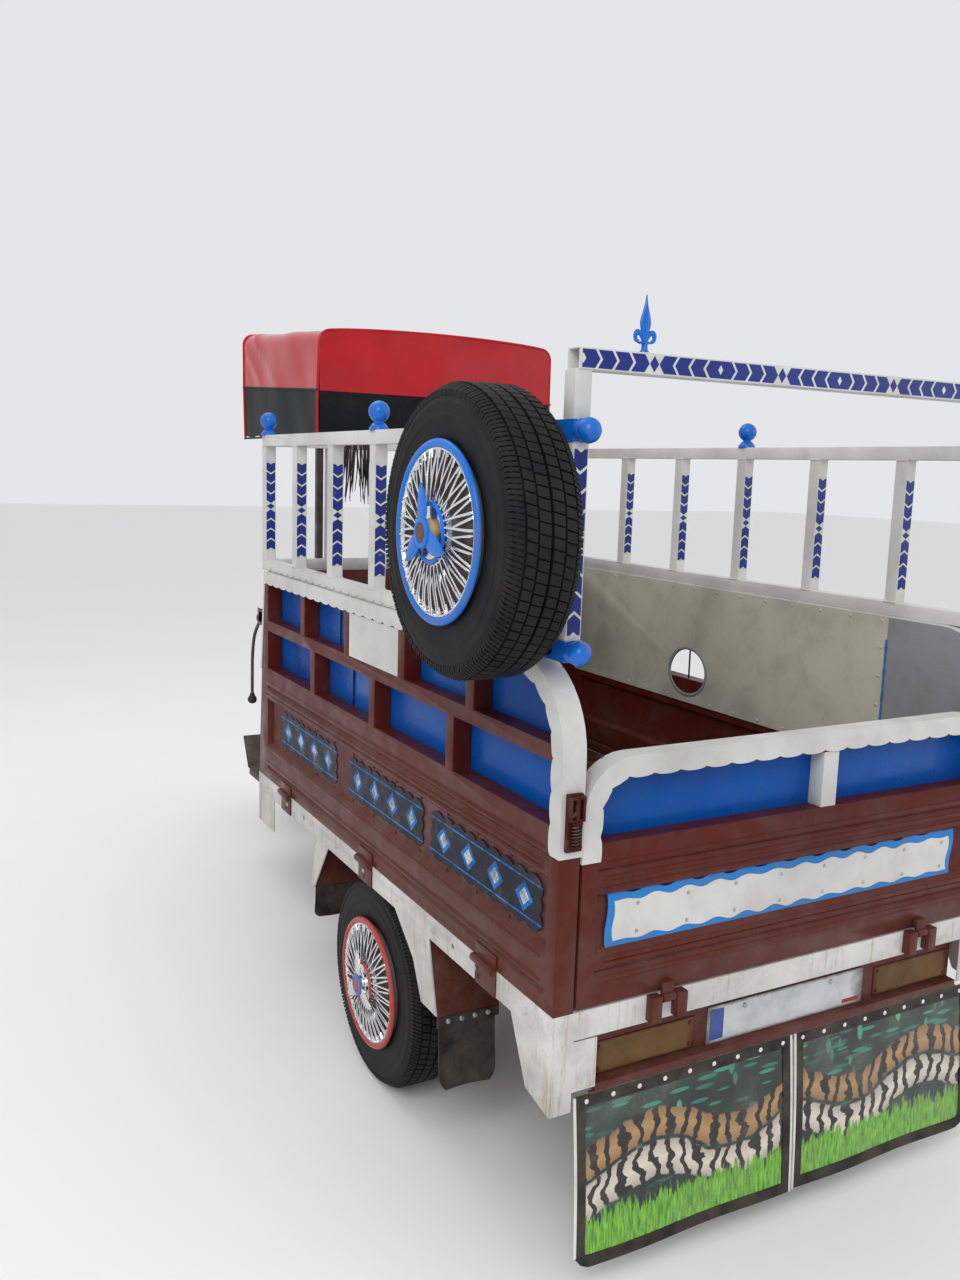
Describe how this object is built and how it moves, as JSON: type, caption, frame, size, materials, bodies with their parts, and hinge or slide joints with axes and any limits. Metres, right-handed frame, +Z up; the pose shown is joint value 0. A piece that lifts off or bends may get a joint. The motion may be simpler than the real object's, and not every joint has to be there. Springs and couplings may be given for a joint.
{
  "type": "cargo motor tricycle",
  "caption": "Three-wheeled cargo motor tricycle with a high-sided load bed, railings, rear arch, drop tailgate, side spare wheel and driver's canopy.",
  "frame": {"origin": "on the ground at the middle of the machine's footprint, the spare wheel counted in", "axes": "+X forward along the length, +Y to the driver's left, +Z up"},
  "size_m": [3.5702, 1.558, 2.1899],
  "materials": {
    "chassis_paint": "satin black chassis paint with road dust",
    "white_paint": "brushed white enamel, slightly dirty",
    "maroon_paint": "dark brown-maroon enamel, weathered",
    "blue_sheet": "bright blue painted sheet",
    "cream_lining": "cream painted riveted lining sheet",
    "blue_plastic": "bright blue moulded plastic",
    "tyre_rubber": "black tyre rubber with dusty tread",
    "rim_steel": "grey painted pressed wheel",
    "hubcap_chrome": "chromed wire hubcap with painted rings",
    "axle_iron": "dark cast iron and spring steel, dusty",
    "engine_alloy": "cast alloy engine casing",
    "exhaust_steel": "heat-stained steel",
    "tank_paint": "gloss red paint",
    "seat_vinyl": "black seat vinyl with stitching",
    "footboard_steel": "black chequered steel sheet",
    "canopy_tube": "black painted tube",
    "canopy_vinyl": "glossy red coated cloth with a black lower band",
    "flap_vinyl": "black flap sheet with a printed panel",
    "flap_rubber": "black flap rubber",
    "fork_steel": "chromed fork legs with dark yokes",
    "lamp_chrome": "bright chrome",
    "grip_rubber": "moulded grip rubber"
  },
  "bodies": {
    "chassis": {"chassis_frame": "chassis_paint", "bed_frame": "white_paint", "bed_floor": "maroon_paint", "skirt_plates": "white_paint", "side_gate_left": "maroon_paint", "side_gate_right": "maroon_paint", "gate_trims": "white_paint", "gate_sheets": "blue_sheet", "gate_linings": "cream_lining", "headboard": "maroon_paint", "gate_hinges": "maroon_paint", "latches": "maroon_paint", "corner_lever": "maroon_paint", "side_railing_left": "white_paint", "side_railing_right": "white_paint", "front_railing": "white_paint", "rear_arch": "white_paint", "finials": "blue_plastic", "spare_bracket": "chassis_paint", "spare_tyre": "tyre_rubber", "spare_rim": "rim_steel", "spare_hubcap": "hubcap_chrome", "rear_axle": "axle_iron", "leaf_springs": "axle_iron", "prop_shaft": "axle_iron", "engine": "engine_alloy", "exhaust": "exhaust_steel", "fuel_tank": "tank_paint", "seat_base": "chassis_paint", "seat_cushion": "seat_vinyl", "seat_back": "seat_vinyl", "footboards": "footboard_steel", "canopy_frame": "canopy_tube", "canopy_cover": "canopy_vinyl", "light_board": "maroon_paint", "rear_flaps": "flap_vinyl", "mudguards": "maroon_paint", "wheel_flaps": "flap_rubber"},
    "tailgate": {"tailgate": "maroon_paint", "tailgate_sheet": "blue_sheet", "tailgate_stanchion": "white_paint", "tailgate_trim": "white_paint", "tailgate_hinge_leaves": "maroon_paint"},
    "rear_wheel_left": {"rear_tyre_left": "tyre_rubber", "rear_rim_left": "rim_steel", "rear_hubcap_left": "hubcap_chrome"},
    "rear_wheel_right": {"rear_tyre_right": "tyre_rubber", "rear_rim_right": "rim_steel", "rear_hubcap_right": "hubcap_chrome"},
    "steering": {"fork": "fork_steel", "front_fender": "tank_paint", "headlamp": "lamp_chrome", "handlebar": "lamp_chrome", "grips": "grip_rubber"},
    "front_wheel": {"front_tyre": "tyre_rubber", "front_rim": "rim_steel"}
  },
  "joints": [
    {"name": "tailgate_drop", "type": "hinge", "parent": "chassis", "child": "tailgate", "pos_m": [-1.703, -0.091, 0.61], "axis": [0, -1, 0], "range_deg": [0, 165]},
    {"name": "steering_turn", "type": "hinge", "parent": "chassis", "child": "steering", "pos_m": [1.4394, -0.091, 0.26207], "axis": [-0.454, 0, 0.891], "range_deg": [-40, 40]},
    {"name": "front_wheel_spin", "type": "hinge", "parent": "steering", "child": "front_wheel", "pos_m": [1.4795, -0.091, 0.2825], "axis": [0, 1, 0], "continuous": true},
    {"name": "rear_left_wheel_spin", "type": "hinge", "parent": "chassis", "child": "rear_wheel_left", "pos_m": [-0.7735, 0.479, 0.2825], "axis": [0, 1, 0], "continuous": true},
    {"name": "rear_right_wheel_spin", "type": "hinge", "parent": "chassis", "child": "rear_wheel_right", "pos_m": [-0.7735, -0.661, 0.2825], "axis": [0, 1, 0], "continuous": true}
  ]
}
